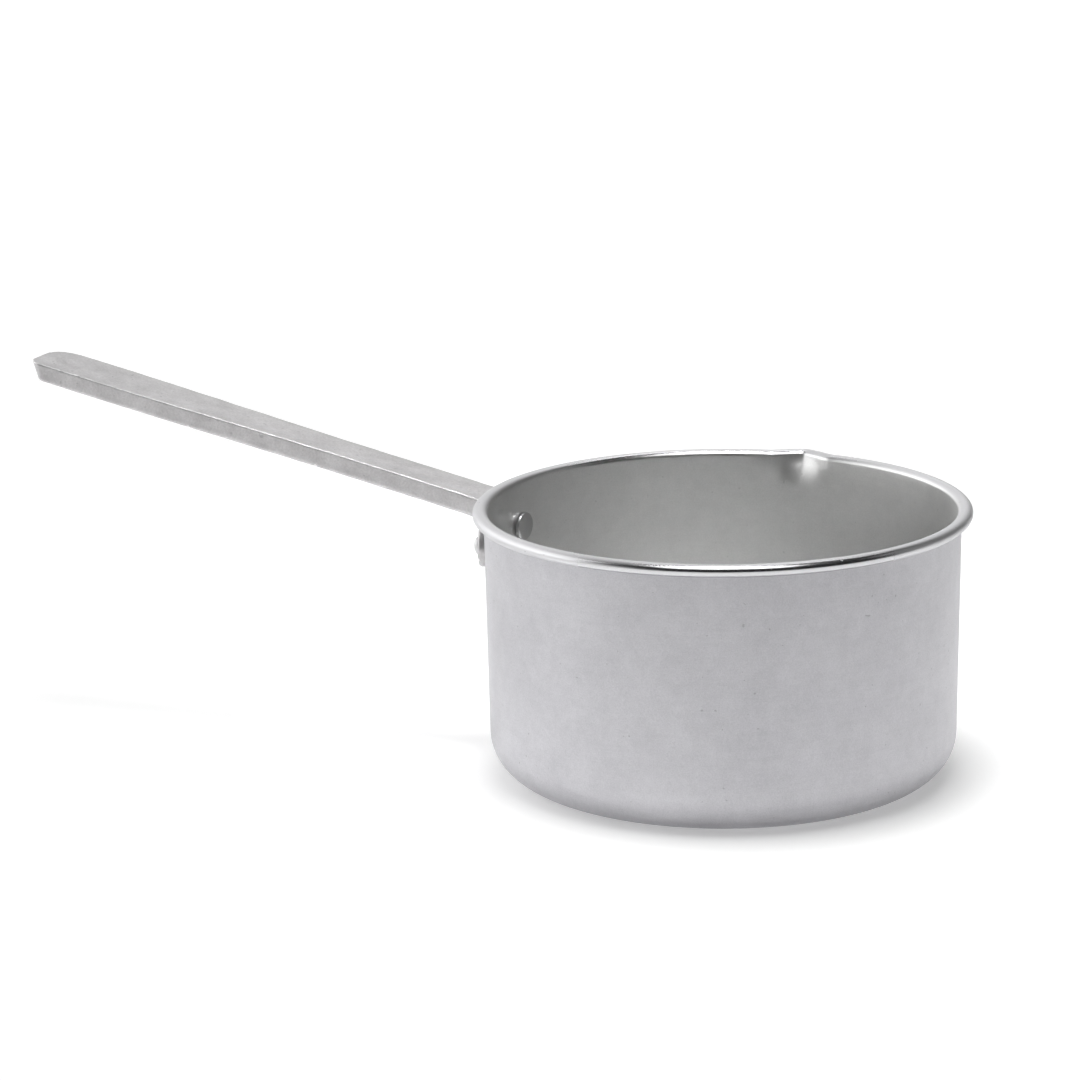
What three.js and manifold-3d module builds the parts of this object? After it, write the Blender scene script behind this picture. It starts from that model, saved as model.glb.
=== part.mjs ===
// Candle melting pot: a spun aluminium cup with a rolled rim and a pinched pouring lip, and a cast bar
// handle held by two rivets. Millimetres, +Z up. The origin is the centre of the base, on the surface
// that the pot stands on. The handle points along -X and the lip is near +Y.
import * as THREE from 'three';
import { mergeVertices } from 'three/addons/utils/BufferGeometryUtils.js';
import Module from 'manifold-3d';

const wasm = await Module();
wasm.setup();

// ---- Driving dimensions -------------------------------------------------------------------------
const RIM_BORE = 160;          // inside diameter at the rim
const POT_HEIGHT = 93.3;       // base to the top of the rim
const SHEET = 1.3;             // sheet thickness of the cup
const WALL_TAPER = 0.8;        // how much smaller the radius is at the foot of the wall
const CORNER_RADIUS = 14.5;    // outside radius between wall and base
const BEAD_WIDTH = 5.1;        // rolled rim, across
const BEAD_HEIGHT = 4.26;      // rolled rim, top to bottom

const LIP_FROM_HANDLE = 93.4;  // degrees round the rim from the handle to the lip
const LIP_REACH = 5;           // how far the lip stands out
const LIP_WIDTH = 19;          // lip, across the rim
const LIP_DEPTH = 12;          // how far down the wall the lip fades out

const BAR_LENGTH = 175.7;      // rim to the tip, along the bar
const BAR_TILT = 13.3;         // degrees up from level
const BAR_ROOT_WIDTH = 18.6;
const BAR_TIP_WIDTH = 24.2;
const BAR_ROOT_THICKNESS = 7.2;
const BAR_TIP_THICKNESS = 6.5;
const WIDEN_START = 40;        // the bar starts to widen this far from the rim
const WIDEN_LENGTH = 118;      // and takes this long to reach its tip width
const TIP_SLOPE = 3.6;         // the end face leans in by this much, top to bottom
const TIP_CORNER_LIP_SIDE = 10;   // the tip's corner on the lip's side is ground rounder
const TIP_CORNER_PLAIN_SIDE = 3;
const EDGE_BREAK = 0.5;        // bevel along the bar's edges
const DIMPLE_DIAMETER = 10;    // shallow round mark near the tip
const DIMPLE_DEPTH = 1.1;
const DIMPLE_FROM_TIP = 11;

const PAD_THICKNESS = 3;       // the flange that hugs the wall
const NECK_FILLET = 3;         // between the bar's underside and the pad, and above each ear
const RIVET_DROP = 17;         // rim top to the rivets
const RIVET_SPACING = 31;      // rivet to rivet, across
const EAR_RADIUS = 7.5;        // pad metal round each rivet
const SHANK_DIAMETER = 4.6;
const HEAD_DIAMETER = 9.9;     // flat head inside the cup
const HEAD_HEIGHT = 2;
const HEAD_EDGE = 0.6;         // rounded edge of the head
const BUTTON_DIAMETER = 6.5;   // formed end outside the pad
const BUTTON_HEIGHT = 1.8;
const GAP = 0.3;               // clearance between pieces that meet

// ---- Values that follow from them ---------------------------------------------------------------
const rimRadius = RIM_BORE / 2;
const wallTopRadius = rimRadius + SHEET;
const wallFootRadius = wallTopRadius - WALL_TAPER;
const beadRadius = rimRadius + BEAD_WIDTH / 2;
const beadOuterRadius = rimRadius + BEAD_WIDTH;
const beadZ = POT_HEIGHT - BEAD_HEIGHT / 2;
const cornerCentre = wallFootRadius - CORNER_RADIUS;
// The curl stops just short of the wall: degrees round the bead, from straight out.
const curlEnd = -THREE.MathUtils.radToDeg(Math.acos(-(BEAD_WIDTH / 2 - SHEET - GAP) / (BEAD_WIDTH / 2)));
const rivetZ = POT_HEIGHT - RIVET_DROP;
const wallRadiusAt = z => wallFootRadius
  + WALL_TAPER * (z - CORNER_RADIUS) / (beadZ - CORNER_RADIUS);
const rivetWallRadius = wallRadiusAt(rivetZ);
const rivetAngle = Math.asin(RIVET_SPACING / 2 / rivetWallRadius);
const holeRadius = SHANK_DIAMETER / 2 + GAP;

const ROUND_SEGMENTS = 72;     // facets round the cup
const CORNER_STEPS = 5;
const CURL_STEPS = 10;
const LIP_PACKING = 0.5;       // draws the cup's facets together at the lip
const HOLE_SEGMENTS = 16;
const CURL_SEGMENTS = 20;      // facets round the bead's clearance
const BALL_SEGMENTS = 48;
const TIP_STEPS = 8;           // facets round each corner of the bar's tip
const WIDEN_STEPS = 8;         // sections where the bar widens
const EAR_STEPS = 12;
const FILLET_STEPS = 5;
const LIP_RINGS = [0, 0.3, 0.6];  // heights of the wall's rings, as shares of the lip's depth

const deg = THREE.MathUtils.degToRad;
const { smoothstep, lerp } = THREE.MathUtils;

// ---- Helpers ------------------------------------------------------------------------------------
function toSolid(geometry) {
  const bare = geometry.clone();
  bare.deleteAttribute('normal');
  bare.deleteAttribute('uv');
  const merged = mergeVertices(bare, 1e-4);
  return new wasm.Manifold(new wasm.Mesh({
    numProp: 3,
    vertProperties: Float32Array.from(merged.attributes.position.array),
    triVerts: Uint32Array.from(merged.index.array),
  }));
}

function toGeometry(solid) {
  const { vertProperties, triVerts, numProp } = solid.getMesh();
  const positions = new Float32Array(triVerts.length * 3);
  triVerts.forEach((v, i) => {
    for (let k = 0; k < 3; k++) positions[3 * i + k] = vertProperties[v * numProp + k];
  });
  const geometry = new THREE.BufferGeometry();
  geometry.setAttribute('position', new THREE.BufferAttribute(positions, 3));
  geometry.computeVertexNormals();
  return geometry;
}

function namedMesh(name, geometry, finish) {
  const mesh = new THREE.Mesh(geometry, new THREE.MeshStandardMaterial(finish));
  mesh.name = name;
  return mesh;
}

// A profile of (radius, height) points turned about +Z.
function turned(profile, segments) {
  const geometry = new THREE.LatheGeometry(profile, segments);
  geometry.rotateX(Math.PI / 2);
  return geometry;
}

// Points on an ellipse from one angle to another, in degrees.
function arc(x, y, halfWidth, halfHeight, from, to, steps) {
  return Array.from({ length: steps + 1 }, (_, i) => {
    const a = deg(lerp(from, to, i / steps));
    return new THREE.Vector2(x + halfWidth * Math.cos(a), y + halfHeight * Math.sin(a));
  });
}

// A round bar through the wall at a rivet, pointing out from the pot's axis.
function rivetDrill(side) {
  const reach = 4 * (PAD_THICKNESS + SHEET);
  const drill = new THREE.CylinderGeometry(holeRadius, holeRadius, reach, HOLE_SEGMENTS);
  drill.rotateZ(Math.PI / 2);
  drill.translate(-rivetWallRadius, 0, 0);
  drill.rotateZ(side * rivetAngle);
  drill.translate(0, 0, rivetZ);
  return toSolid(drill);
}

// ---- Cup ----------------------------------------------------------------------------------------
// Once round the sheet's section: out along the base, up the wall, round the curl, and back inside.
function cupProfile() {
  const inner = CORNER_RADIUS - SHEET;
  const curlWidth = BEAD_WIDTH / 2, curlHeight = BEAD_HEIGHT / 2;
  const wallRings = LIP_RINGS.map(share => beadZ - LIP_DEPTH * (1 - share));
  const outside = wallRings.map(z => new THREE.Vector2(wallRadiusAt(z), z));
  const inside = outside.map(p => new THREE.Vector2(p.x - SHEET, p.y)).reverse();
  return [
    new THREE.Vector2(0, 0),
    ...arc(cornerCentre, CORNER_RADIUS, CORNER_RADIUS, CORNER_RADIUS, -90, 0, CORNER_STEPS),
    ...outside,
    ...arc(beadRadius, beadZ, curlWidth - SHEET, curlHeight - SHEET, 180, curlEnd, CURL_STEPS - 2),
    ...arc(beadRadius, beadZ, curlWidth, curlHeight, curlEnd, 180, CURL_STEPS),
    ...inside,
    ...arc(cornerCentre, CORNER_RADIUS, inner, inner, 0, -90, CORNER_STEPS),
    new THREE.Vector2(0, SHEET),
  ];
}

// Pushes the rim out in a V at the lip, fading down the wall.
function pinchLip(geometry) {
  const lipAngle = Math.PI - deg(LIP_FROM_HANDLE);
  const halfAngle = LIP_WIDTH / 2 / rimRadius;
  const position = geometry.attributes.position;
  for (let i = 0; i < position.count; i++) {
    const x = position.getX(i), y = position.getY(i), z = position.getZ(i);
    const radius = Math.hypot(x, y);
    if (radius < SHEET) continue;
    const even = Math.atan2(y, x);
    const offset = even - LIP_PACKING * Math.sin(even);
    const across = Math.max(0, 1 - Math.abs(offset) / halfAngle);
    const down = smoothstep(z, beadZ - LIP_DEPTH, beadZ);
    const pushed = radius + LIP_REACH * across * down;
    position.setXY(i, pushed * Math.cos(lipAngle + offset), pushed * Math.sin(lipAngle + offset));
  }
  return geometry;
}

function makeCup() {
  let cup = toSolid(pinchLip(turned(cupProfile(), ROUND_SEGMENTS)));
  for (const side of [-1, 1]) cup = cup.subtract(rivetDrill(side));
  return toGeometry(cup);
}

// ---- Handle -------------------------------------------------------------------------------------
const barWidthAt = s => lerp(BAR_ROOT_WIDTH, BAR_TIP_WIDTH,
  smoothstep(s, WIDEN_START, WIDEN_START + WIDEN_LENGTH));
const barThicknessAt = s => lerp(BAR_ROOT_THICKNESS, BAR_TIP_THICKNESS, s / BAR_LENGTH);

// One side of the bar's outline from the wall to the tip, then its corner. sideways is -1 or 1, and the
// side is drawn inset by the bevel, so that the bevelled bar keeps its stated size.
function barSide(sideways, corner) {
  const buried = BEAD_WIDTH;   // runs back under the bead to the wall, and is trimmed there
  const last = Math.min(BAR_LENGTH - corner, WIDEN_START + WIDEN_LENGTH);
  const stations = [-buried, 0, ...Array.from({ length: WIDEN_STEPS + 1 }, (_, i) =>
    lerp(WIDEN_START, last, i / WIDEN_STEPS))];
  const straight = stations.map(s => new THREE.Vector2(s, sideways * (barWidthAt(s) / 2 - EDGE_BREAK)));
  const round = corner - EDGE_BREAK;
  const middle = sideways * (BAR_TIP_WIDTH / 2 - corner);
  return [...straight, ...arc(BAR_LENGTH - corner, middle, round, sideways * round, 90, 0, TIP_STEPS)];
}

// The bar in its own frame: x along it from the rim's outer edge, y across, z = 0 on its top face.
function barGeometry() {
  const lipSide = barSide(-1, TIP_CORNER_LIP_SIDE);
  const plainSide = barSide(1, TIP_CORNER_PLAIN_SIDE);
  const outline = [...lipSide, ...plainSide.reverse()];
  const slopeStart = BAR_LENGTH - TIP_CORNER_LIP_SIDE;
  const depth = 1;             // a thin slab first: each face then moves to its own height
  const geometry = new THREE.ExtrudeGeometry(new THREE.Shape(outline), {
    depth, bevelEnabled: true, bevelThickness: EDGE_BREAK, bevelSize: EDGE_BREAK, bevelSegments: 1,
  });
  const position = geometry.attributes.position;
  for (let i = 0; i < position.count; i++) {
    const s = position.getX(i), z = position.getZ(i);
    const isTop = z > depth / 2;
    const thickness = barThicknessAt(s);
    const fromFace = isTop ? depth + EDGE_BREAK - z : z + EDGE_BREAK;
    position.setZ(i, isTop ? -fromFace : fromFace - thickness);
    const atTip = Math.max(0, (s - slopeStart) / TIP_CORNER_LIP_SIDE);
    if (!isTop) position.setX(i, s - TIP_SLOPE * atTip);
  }
  return geometry;
}

// Turns a solid from the bar's frame into the pot's: along -X, tilted up, from the rim's outer edge.
function placeBar(geometry) {
  geometry.rotateY(-deg(BAR_TILT));
  geometry.rotateZ(Math.PI);
  geometry.translate(-beadOuterRadius, 0, beadZ);
  return geometry;
}

function dimpleGeometry() {
  const r = DIMPLE_DIAMETER / 2;
  const ball = (r * r + DIMPLE_DEPTH * DIMPLE_DEPTH) / (2 * DIMPLE_DEPTH);
  const sphere = new THREE.SphereGeometry(ball, BALL_SEGMENTS, BALL_SEGMENTS);
  sphere.rotateX(Math.PI / 2);
  sphere.translate(BAR_LENGTH - DIMPLE_FROM_TIP, 0, ball - DIMPLE_DEPTH);
  return sphere;
}

// The pad seen from outside: a neck under the bar that spreads into an ear round each rivet.
function padGeometry() {
  const ear = RIVET_SPACING / 2;
  const neck = BAR_ROOT_WIDTH / 2;
  const top = beadZ;
  const earTop = rivetZ + EAR_RADIUS;
  const fillet = Math.min(NECK_FILLET, ear - neck, top - earTop);
  const half = [
    ...arc(ear, rivetZ, EAR_RADIUS, EAR_RADIUS, -90, 90, EAR_STEPS),
    ...arc(neck + fillet, earTop + fillet, fillet, fillet, 270, 180, FILLET_STEPS),
    new THREE.Vector2(neck, top),
  ];
  const mirrored = [...half].reverse().map(p => new THREE.Vector2(-p.x, p.y));
  const depth = rimRadius;
  const slab = new THREE.ExtrudeGeometry(new THREE.Shape([...half, ...mirrored]),
    { depth, bevelEnabled: false });
  slab.applyMatrix4(new THREE.Matrix4().set(0, 0, -1, 0, -1, 0, 0, 0, 0, 1, 0, 0, 0, 0, 0, 1));
  slab.translate(-rimRadius / 2, 0, 0);
  return slab;
}

// A ring as thick as the pad, which follows the wall's slope.
function padRing() {
  const low = CORNER_RADIUS, high = POT_HEIGHT;
  const outer = GAP + PAD_THICKNESS;
  return turned([
    new THREE.Vector2(wallRadiusAt(low), low),
    new THREE.Vector2(wallRadiusAt(low) + outer, low),
    new THREE.Vector2(wallRadiusAt(high) + outer, high),
    new THREE.Vector2(wallRadiusAt(high), high),
    new THREE.Vector2(wallRadiusAt(low), low),
  ], 2 * ROUND_SEGMENTS);
}

// A wedge with a hollow face, under the bar where it meets the pad.
function filletGeometry() {
  const corner = wallTopRadius + GAP + PAD_THICKNESS;
  const slope = Math.tan(deg(BAR_TILT));
  const under = beadZ - BAR_ROOT_THICKNESS / Math.cos(deg(BAR_TILT));
  const ceiling = r => under + (r - beadOuterRadius) * slope;
  const r0 = corner - PAD_THICKNESS / 2, r1 = corner + NECK_FILLET;
  const hollow = arc(r1, ceiling(corner) - NECK_FILLET, NECK_FILLET, NECK_FILLET, 180, 90, FILLET_STEPS)
    .map(p => new THREE.Vector2(p.x, p.y + Math.max(0, p.x - corner) * slope));
  const rise = BAR_ROOT_THICKNESS / 3;
  const outline = [
    new THREE.Vector2(r0, ceiling(r0) + rise),
    new THREE.Vector2(r0, ceiling(corner) - NECK_FILLET),
    ...hollow,
    new THREE.Vector2(r1, ceiling(r1) + rise),
  ];
  const width = BAR_ROOT_WIDTH - 2 * EDGE_BREAK;
  const section = new THREE.Shape(outline);
  const wedge = new THREE.ExtrudeGeometry(section, { depth: width, bevelEnabled: false });
  wedge.applyMatrix4(new THREE.Matrix4().set(-1, 0, 0, 0, 0, 0, 1, 0, 0, 1, 0, 0, 0, 0, 0, 1));
  wedge.translate(0, -width / 2, 0);
  return wedge;
}

// Everything the handle has to stay clear of: the wall and the bead, each with its gap.
function cupEnvelope() {
  const wall = turned([
    new THREE.Vector2(0, 0),
    new THREE.Vector2(wallRadiusAt(0) + GAP, 0),
    new THREE.Vector2(wallRadiusAt(POT_HEIGHT) + GAP, POT_HEIGHT),
    new THREE.Vector2(0, POT_HEIGHT),
  ], 2 * ROUND_SEGMENTS);
  const halfWidth = BEAD_WIDTH / 2 + GAP, halfHeight = BEAD_HEIGHT / 2 + GAP;
  const beadSection = arc(beadRadius, beadZ, halfWidth, halfHeight, -180, 180, CURL_SEGMENTS);
  const bead = turned(beadSection, 2 * ROUND_SEGMENTS);
  return toSolid(wall).add(toSolid(bead));
}

function makeHandle() {
  const pad = toSolid(padGeometry()).intersect(toSolid(padRing()));
  let handle = toSolid(placeBar(barGeometry()))
    .add(pad)
    .add(toSolid(filletGeometry()))
    .subtract(cupEnvelope())
    .subtract(toSolid(placeBar(dimpleGeometry())));
  for (const side of [-1, 1]) handle = handle.subtract(rivetDrill(side));
  return toGeometry(handle);
}

// ---- Rivets -------------------------------------------------------------------------------------
// Turned about its own axis, which becomes the line out from the pot's axis. Height 0 is the wall's
// outer face: the flat head is on the inside, and the button is on the outside of the pad.
function makeRivet() {
  const shank = SHANK_DIAMETER / 2, head = HEAD_DIAMETER / 2, button = BUTTON_DIAMETER / 2;
  const innerRadius = rivetWallRadius - SHEET;
  const headSeat = -SHEET - GAP - head * head / (2 * innerRadius);
  const headFace = headSeat - HEAD_HEIGHT;
  const buttonSeat = PAD_THICKNESS + 2 * GAP;
  const profile = [
    new THREE.Vector2(0, headFace),
    ...arc(head - HEAD_EDGE, headFace + HEAD_EDGE, HEAD_EDGE, HEAD_EDGE, -90, 0, 3),
    new THREE.Vector2(head, headSeat),
    new THREE.Vector2(shank, headSeat),
    new THREE.Vector2(shank, buttonSeat),
    new THREE.Vector2(button, buttonSeat),
    ...arc(0, buttonSeat, button, BUTTON_HEIGHT, 15, 90, 5),
  ];
  return turned(profile, HOLE_SEGMENTS);
}

// A group turned to the rivet's place round the wall, holding the rivet laid on its side.
function placeRivet(mesh, side) {
  mesh.rotation.y = -Math.PI / 2;
  mesh.position.set(-rivetWallRadius, 0, rivetZ);
  const turn = new THREE.Group();
  turn.rotation.z = side * rivetAngle;
  turn.add(mesh);
  return turn;
}

// ---- Assembly -----------------------------------------------------------------------------------
const sheetFinish = { color: '#c3c3c8', roughness: 0.42, metalness: 0.95 };
const castFinish = { color: '#c6c6c4', roughness: 0.5, metalness: 0.9 };
const rivetFinish = { color: '#b9b9bb', roughness: 0.35, metalness: 0.95 };

const meltingPot = new THREE.Group();
meltingPot.add(namedMesh('pot', makeCup(), sheetFinish));
meltingPot.add(namedMesh('handle', makeHandle(), castFinish));
meltingPot.add(placeRivet(namedMesh('rivet_front', makeRivet(), rivetFinish), 1));
meltingPot.add(placeRivet(namedMesh('rivet_back', makeRivet(), rivetFinish), -1));

export default meltingPot;
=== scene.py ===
# %% [markdown]
# # A candle melting pot
# The real pot is a spun aluminium cup with a rolled rim and a pinched lip, and a cast bar handle that two
# rivets hold on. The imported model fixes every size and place. This lesson makes the fine surfaces that go
# over it: each piece is a mesh worked out from its section or outline, in metres, in the model's own frame.

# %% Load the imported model
import math

import bmesh
import bpy
import numpy as np
from mathutils import Matrix, Vector, noise


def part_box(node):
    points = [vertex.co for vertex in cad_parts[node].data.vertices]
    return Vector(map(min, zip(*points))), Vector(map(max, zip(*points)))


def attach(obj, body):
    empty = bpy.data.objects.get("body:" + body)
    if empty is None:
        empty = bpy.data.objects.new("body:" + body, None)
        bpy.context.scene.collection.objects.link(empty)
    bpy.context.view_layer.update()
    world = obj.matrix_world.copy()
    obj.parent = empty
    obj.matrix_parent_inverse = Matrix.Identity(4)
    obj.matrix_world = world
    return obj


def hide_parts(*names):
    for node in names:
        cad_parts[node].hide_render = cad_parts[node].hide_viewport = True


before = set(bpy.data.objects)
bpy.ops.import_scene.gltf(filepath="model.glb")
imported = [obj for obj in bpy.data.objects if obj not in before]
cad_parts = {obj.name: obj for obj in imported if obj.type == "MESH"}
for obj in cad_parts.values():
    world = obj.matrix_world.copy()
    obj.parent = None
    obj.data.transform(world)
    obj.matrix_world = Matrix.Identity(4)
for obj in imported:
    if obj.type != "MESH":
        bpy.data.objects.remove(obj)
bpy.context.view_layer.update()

MM = 0.001

# %% [markdown]
# ## The camera
# A product picture is taken from some way off with a long lens, so the rim stays a calm ellipse. The
# handle points to -X. The camera stands a little to that side of straight ahead, and looks down slightly.
# It is held a degree off level, which is how a hand-held or quickly set camera often stands.

# %% Place the camera
CAMERA_AZIMUTH = math.radians(20)
CAMERA_DROP = math.radians(14.33)      # how far down it looks
CAMERA_DISTANCE = 1.2
CAMERA_ROLL = math.radians(0.94)
AIM_LEFT = 0.0621                      # the aim passes this far left of the cup's axis
AIM_UP = 0.0788                        # and this far above the middle of the base
LENS_MM, SENSOR_MM = 115.3, 36

ahead = Vector((-math.sin(CAMERA_AZIMUTH) * math.cos(CAMERA_DROP),
                math.cos(CAMERA_AZIMUTH) * math.cos(CAMERA_DROP), -math.sin(CAMERA_DROP)))
right = Vector((math.cos(CAMERA_AZIMUTH), math.sin(CAMERA_AZIMUTH), 0))
upward = right.cross(ahead)
rolled_right = right * math.cos(CAMERA_ROLL) - upward * math.sin(CAMERA_ROLL)
rolled_up = upward * math.cos(CAMERA_ROLL) + right * math.sin(CAMERA_ROLL)

camera_data = bpy.data.cameras.new("camera")
camera_data.lens, camera_data.sensor_width = LENS_MM, SENSOR_MM
camera = bpy.data.objects.new("camera", camera_data)
stand = -ahead * CAMERA_DISTANCE - right * AIM_LEFT + upward * AIM_UP
facing = Matrix((rolled_right, rolled_up, -ahead)).transposed().to_4x4()
camera.matrix_world = Matrix.Translation(stand) @ facing
bpy.context.scene.collection.objects.link(camera)
bpy.context.scene.camera = camera
print("camera at", [round(v, 3) for v in camera.location])

# %% [markdown]
# ## Two mesh helpers
# A turned or drawn thing is a grid of points: one row of points goes round, and rows are stacked. Writing
# the grid straight into a mesh is exact, light and easy to change. `grid_mesh` joins such rows, and
# `as_piece` hangs the finished mesh on the model: it rides the body, stands for its CAD node, and takes
# its finish.

# %% Helpers that turn points into pieces
def grid_mesh(name, points, close_rows, close_columns):
    """points is an array of rows x columns x 3. A closed direction joins its last line to its first."""
    rows, columns = points.shape[:2]
    row_pairs = rows if close_rows else rows - 1
    column_pairs = columns if close_columns else columns - 1
    r, c = np.meshgrid(np.arange(row_pairs), np.arange(column_pairs), indexing="ij")
    r2, c2 = (r + 1) % rows, (c + 1) % columns
    faces = np.stack([r * columns + c, r * columns + c2, r2 * columns + c2, r2 * columns + c], -1)
    mesh = bpy.data.meshes.new(name)
    mesh.from_pydata(points.reshape(-1, 3).tolist(), [], faces.reshape(-1, 4).tolist())
    return mesh


def merge_close(mesh, distance=1e-7):
    """Joins points that fall together, such as a ring that shrinks to the axis, and turns faces outward."""
    work = bmesh.new()
    work.from_mesh(mesh)
    bmesh.ops.remove_doubles(work, verts=work.verts, dist=distance)
    bmesh.ops.dissolve_degenerate(work, edges=work.edges, dist=distance)
    bmesh.ops.recalc_face_normals(work, faces=work.faces)
    work.to_mesh(mesh)
    work.free()
    return mesh


def new_object(mesh):
    made = bpy.data.objects.new(mesh.name, mesh)
    bpy.context.scene.collection.objects.link(made)
    return made


def as_piece(made, node, material):
    """Smooth shading, the finish, and the two calls that tie a piece to the model."""
    made.data.shade_smooth()
    made.data.materials.clear()
    made.data.materials.append(material)
    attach(made, "root")
    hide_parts(node)
    print(made.name, "stands for", node, "with", len(made.data.vertices), "points")
    return made


def ellipse(centre, half_size, start, stop, steps):
    """Points (across, up) on an ellipse from one angle to another, in degrees."""
    turn = np.radians(np.linspace(start, stop, steps + 1))
    across = centre[0] + half_size[0] * np.cos(turn)
    up = centre[1] + half_size[1] * np.sin(turn)
    return np.column_stack([across, up])


def ease(value, low, high):
    """0 below low, 1 above high, and a smooth S between."""
    t = np.clip((value - low) / (high - low), 0, 1)
    return t * t * (3 - 2 * t)


# %% [markdown]
# ## Sizes
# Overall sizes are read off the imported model, so the fine cup is the size of the CAD cup. The sizes that
# a box can't show, such as the sheet's thickness, are named here once.

# %% Sizes of the cup
cup_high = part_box("pot")[1]
RIM_TOP = cup_high.z
RIM_OUTER = cup_high.x
SHEET = 1.3 * MM
BEAD_WIDTH, BEAD_HEIGHT = 5.1 * MM, 4.26 * MM
WALL_TAPER = 0.8 * MM
CORNER_RADIUS = 14.5 * MM
LIP_ANGLE = math.radians(180 - 93.4)
LIP_REACH = cup_high.y - RIM_OUTER
LIP_HALF_WIDTH, LIP_DEPTH = 9.5 * MM, 11 * MM

rim_radius = RIM_OUTER - BEAD_WIDTH
bead_radius = RIM_OUTER - BEAD_WIDTH / 2
bead_z = RIM_TOP - BEAD_HEIGHT / 2
wall_top = rim_radius + SHEET
wall_foot = wall_top - WALL_TAPER
print("rim bore", round(2000 * rim_radius, 1), "mm, height", round(1000 * RIM_TOP, 1), "mm")


def wall_radius(z):
    """Outside radius of the straight wall at a height."""
    return wall_foot + WALL_TAPER * (z - CORNER_RADIUS) / (bead_z - CORNER_RADIUS)


# %% [markdown]
# ## The cup's section
# A cup like this is spun or drawn from one disc, and its edge is rolled outward over a wire-thin gap. It
# could be a solid with a hollow cut out of it, but then the rolled rim would be a ring stuck on. Drawing
# one closed line round the sheet, under the floor, up the wall, round the bead and back down the inside,
# gives the real thickness everywhere. Each point also notes how much it is rim and how much it is inside,
# because the rim gets a different finish later, and the inside gets fewer specks and a lighter colour,
# which is painted light.

# %% Draw the section of the sheet
CURL_GAP = 0.3 * MM                    # the rolled edge stops this short of the wall
WALL_END = 0.6                         # the wall ends this many bead heights under the bead's middle
RIM_FADE = (135, 180)                  # degrees round the bead over which the rim's finish ends
# The inside's finish is a much lighter colour, which is painted light, and fewer specks.
INSIDE_FADE = (100, 170)               # and over which the inside's finish begins


def cup_section():
    """Points (radius, height) round the sheet, and how much each is rolled rim and inside."""
    half = np.array([BEAD_WIDTH / 2, BEAD_HEIGHT / 2])
    bead_middle = (bead_radius, bead_z)
    curl_end = -math.degrees(math.acos(-(half[0] - SHEET - CURL_GAP) / half[0]))
    over = ellipse(bead_middle, half, curl_end, 180, 34)
    over_angle = np.linspace(curl_end, 180, len(over))
    corner_middle = (wall_foot - CORNER_RADIUS, CORNER_RADIUS)
    outer_corner = (CORNER_RADIUS, CORNER_RADIUS)
    inner_corner = (CORNER_RADIUS - SHEET, CORNER_RADIUS - SHEET)
    lip_foot, wall_end = bead_z - LIP_DEPTH, bead_z - BEAD_HEIGHT * WALL_END
    heights = np.concatenate([np.linspace(CORNER_RADIUS, lip_foot, 12)[1:],
                              np.linspace(lip_foot, wall_end, 12)[1:]])
    outside = np.column_stack([wall_radius(heights), heights])
    floor_radii = np.linspace(0, corner_middle[0], 10)[:-1]
    runs = [
        (np.column_stack([floor_radii, 0 * floor_radii]), 0, 0),
        (ellipse(corner_middle, outer_corner, -90, 0, 16), 0, 0),
        (outside, 0, 0),
        (ellipse(bead_middle, half - SHEET, 180, curl_end, 18), 0, 0),
        (over, 1 - ease(over_angle, *RIM_FADE), ease(over_angle, *INSIDE_FADE)),
        ((outside - [SHEET, 0])[::-1], 0, 1),
        (ellipse(corner_middle, inner_corner, 0, -90, 14), 0, 1),
        (np.column_stack([floor_radii[::-1], 0 * floor_radii + SHEET]), 0, 1),
    ]
    rim = np.concatenate([share + np.zeros(len(run)) for run, share, _ in runs])
    inside = np.concatenate([share + np.zeros(len(run)) for run, _, share in runs])
    return np.vstack([run for run, _, _ in runs]), {"rim": rim, "inside": inside}


print("points in the section:", len(cup_section()[0]))

# %% [markdown]
# ## The cup
# The section is turned about the axis, and the lip is pushed out afterwards, as the maker's tool does it.
# The push is full at the V, falls off along straight flanks and fades out down the wall. The rings are
# closer together at the lip than opposite it, because a sharp V needs them and a plain wall doesn't. A
# spun cup is never quite round, so it also gets a waver too small to see except in its reflections.

# %% Turn the section and pinch the lip
ROUND_STEPS = 300
LIP_PACKING = 0.72                     # how strongly the steps gather at the lip
LIP_FLARE = 1.5                        # above 1 the lip leans out most at the top
APEX_SOFTNESS, SHOULDER_SOFTNESS = 0.07, 0.16
BEAD_SOFTENING = 0.16                  # the outer side of the rolled rim can't follow the pinch as sharply
DIP_DEPTH = 0.5 * MM                   # the wall beside the lip is drawn in by this much
DIP_PLACE, DIP_WIDTH = 1.25, 0.35      # in half widths of the lip
WAVERS = ((3, 1.1, 0.06 * MM), (5, 2.3, 0.04 * MM))   # waves round the cup, their start and height
WALL_INSET = 0.05 * MM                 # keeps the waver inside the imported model


def lip_push(offset, radius, z):
    """How far the sheet is pushed out at an angle from the lip, for each point of the section."""
    across = np.abs(offset) * rim_radius / LIP_HALF_WIDTH
    softness = APEX_SOFTNESS + BEAD_SOFTENING * np.clip((radius - rim_radius) / BEAD_WIDTH, 0, 1)
    rounded = np.sqrt(across ** 2 + softness ** 2) - softness
    flank = 1 - rounded
    flank = 0.5 * (flank + np.sqrt(flank ** 2 + SHOULDER_SOFTNESS ** 2)) - 0.25 * SHOULDER_SOFTNESS
    flank = np.clip(flank, 0, 1)
    beside = np.exp(-((across - DIP_PLACE) / DIP_WIDTH) ** 2)
    down = np.clip((z - bead_z + LIP_DEPTH) / LIP_DEPTH, 0, 1) ** LIP_FLARE
    return LIP_REACH * flank * down - DIP_DEPTH * beside * down * (1 - down) * 4


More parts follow.
